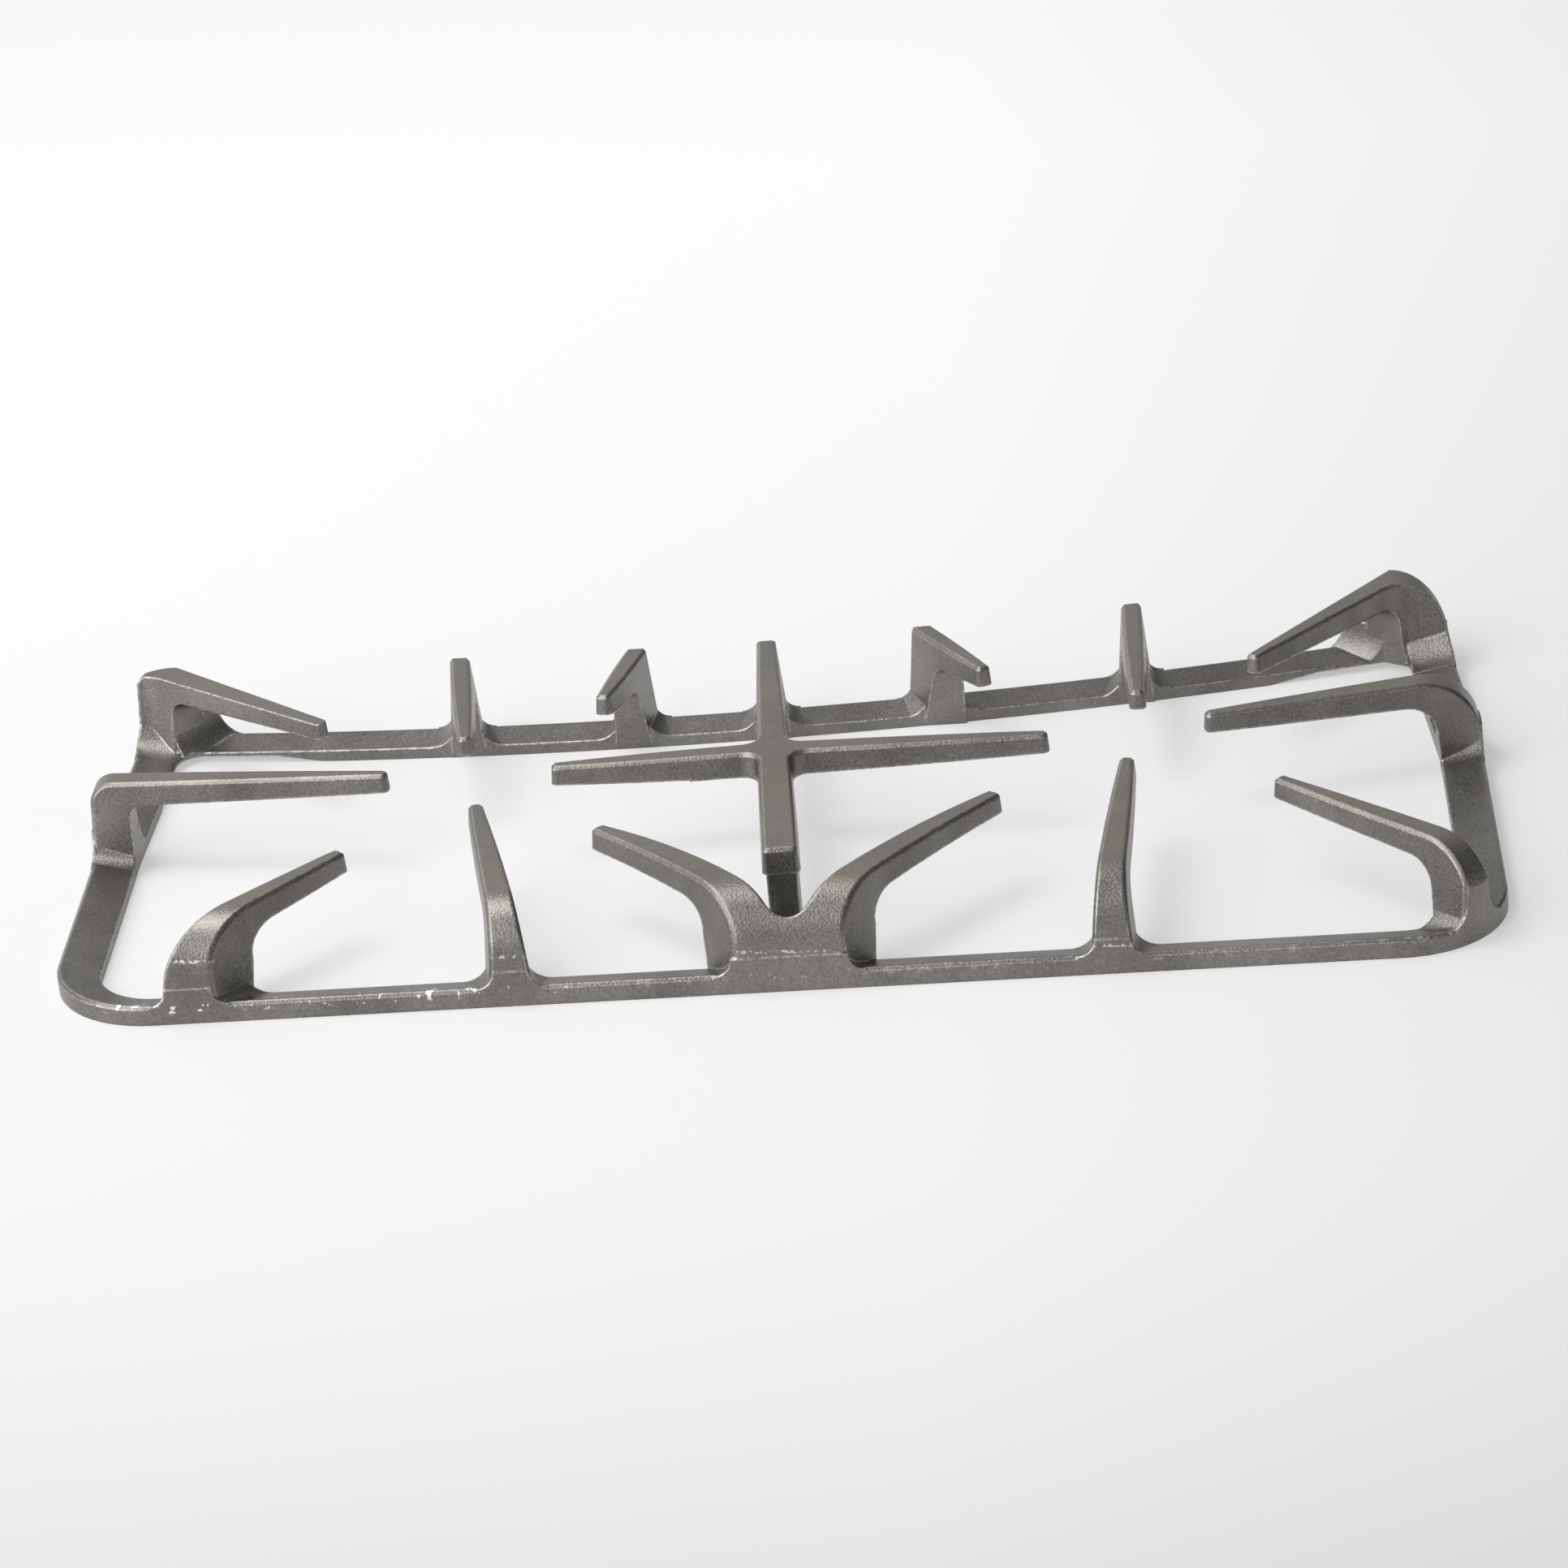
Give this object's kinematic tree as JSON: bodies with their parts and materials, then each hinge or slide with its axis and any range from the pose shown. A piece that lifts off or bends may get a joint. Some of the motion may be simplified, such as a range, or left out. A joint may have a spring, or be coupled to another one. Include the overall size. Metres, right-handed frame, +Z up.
{
  "type": "hob pan support",
  "caption": "Cast-iron pan support for a two-burner gas hob: a low ring with raised fingers that point at each burner",
  "frame": {"origin": "Middle of the underside: centre of the bounding box, on the plane that rests on the hob.", "axes": "+X along the long side to the right seen from the front rail, +Y from the straight front rail to the bowed back rail, +Z up to the pan."},
  "size_m": [0.478, 0.2376, 0.0335],
  "materials": {
    "cast_iron": "raw shot-blasted casting"
  },
  "bodies": {
    "root": {"pan_support": "cast_iron"}
  },
  "joints": []
}
